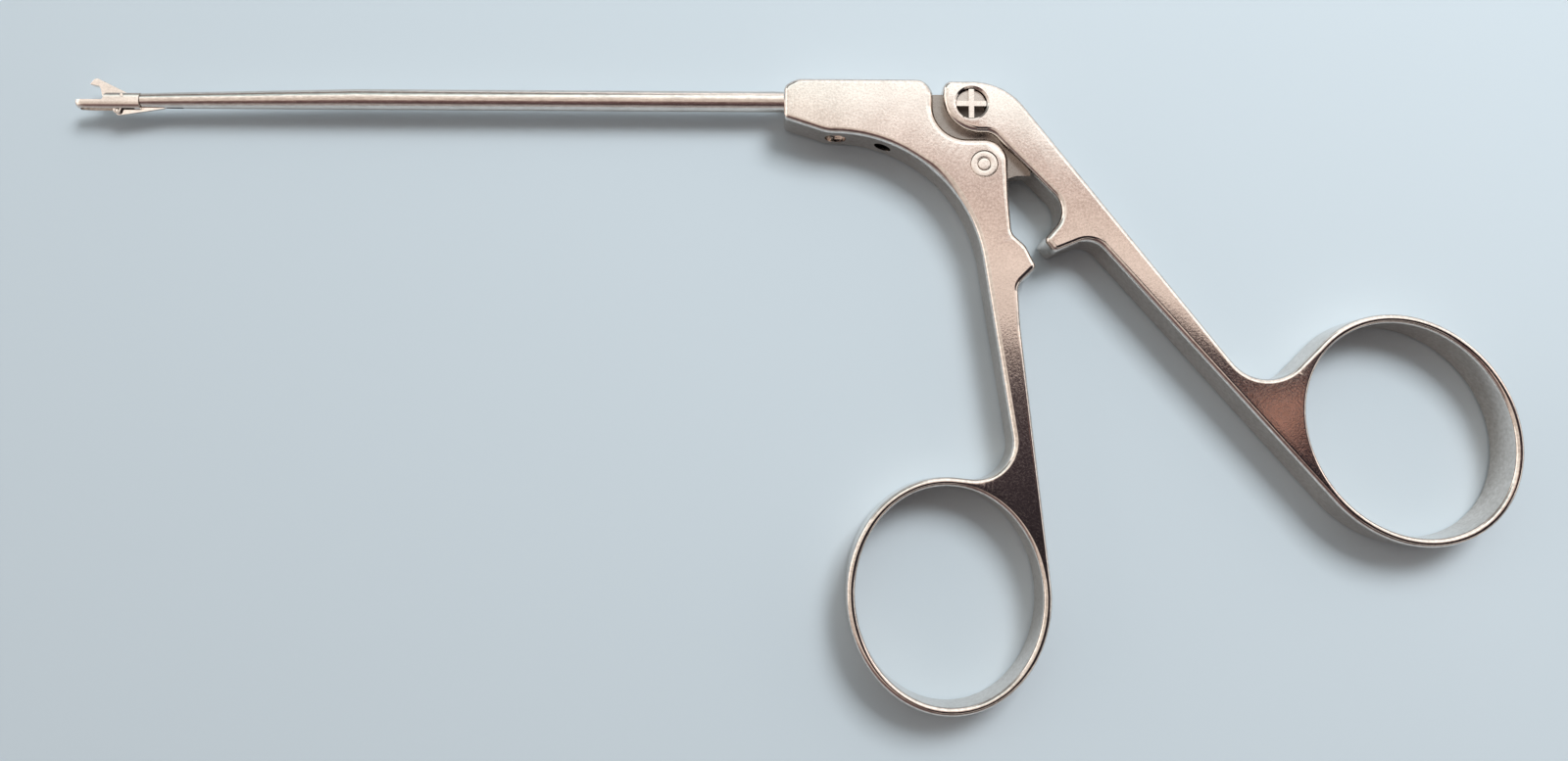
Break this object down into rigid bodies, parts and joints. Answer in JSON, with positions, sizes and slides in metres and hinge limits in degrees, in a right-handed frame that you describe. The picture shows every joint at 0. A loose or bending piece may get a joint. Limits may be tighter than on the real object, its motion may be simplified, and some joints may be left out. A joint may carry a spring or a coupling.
{
  "type": "arthroscopic punch",
  "caption": "Arthroscopic punch with a hook jaw over an open basket, a slim tapered shaft, and a lever handle with oval finger and thumb rings.",
  "frame": {"origin": "on the handles' flat side that the punch rests on, below the shaft axis at the shaft's set screw", "axes": "+X along the shaft from the jaw to the thumb lever, +Y from the finger ring up to the shaft, +Z through the handles' thickness, up from the surface that it lies on"},
  "size_m": [0.2607, 0.1134, 0.008],
  "materials": {
    "satin_handle": "bead-blasted satin stainless steel with polished rounded edges",
    "polished_sleeve": "fine-turned stainless steel",
    "satin_pin": "blasted stainless steel",
    "trunnion_steel": "turned stainless steel",
    "shaft_steel": "polished stainless steel",
    "rod_steel": "drawn stainless steel",
    "jaw_steel": "ground stainless steel",
    "screw_steel": "blank stainless steel"
  },
  "bodies": {
    "frame": {"fixed_handle": "satin_handle", "shaft_tube": "shaft_steel", "shaft_set_screw": "screw_steel", "fixed_jaw": "jaw_steel", "jaw_pin": "jaw_steel", "pivot_sleeve": "polished_sleeve", "pivot_pin": "satin_pin"},
    "lever": {"moving_handle": "satin_handle"},
    "trunnion": {"rod_trunnion": "trunnion_steel", "ball_plug": "trunnion_steel"},
    "rod": {"drive_rod": "rod_steel", "rod_blade": "rod_steel", "link_pin": "rod_steel"},
    "jaw": {"punch_jaw": "jaw_steel"}
  },
  "joints": [
    {"name": "handle_close", "type": "hinge", "parent": "frame", "child": "lever", "pos_m": [0.0266, -0.0126, 0.004], "axis": [0, 0, -1], "range_deg": [0, 11]},
    {"name": "trunnion_turn", "type": "hinge", "parent": "lever", "child": "trunnion", "pos_m": [0.02444, -0.00135, 0.004], "axis": [0, 0, 1], "range_deg": [0, 11]},
    {"name": "rod_slide", "type": "slide", "parent": "frame", "child": "rod", "axis": [1, 0, 0], "range_m": [0, 0.0022]},
    {"name": "jaw_close", "type": "hinge", "parent": "frame", "child": "jaw", "pos_m": [-0.1308, 0.00015, 0.004], "axis": [0, 0, 1], "range_deg": [0, 44]}
  ],
  "couplings": [
    {"joint": "trunnion_turn", "follows": "handle_close", "ratio": 1},
    {"joint": "rod_slide", "follows": "handle_close", "m_per_rad": 0.011388},
    {"joint": "jaw_close", "follows": "handle_close", "ratio": 4}
  ]
}
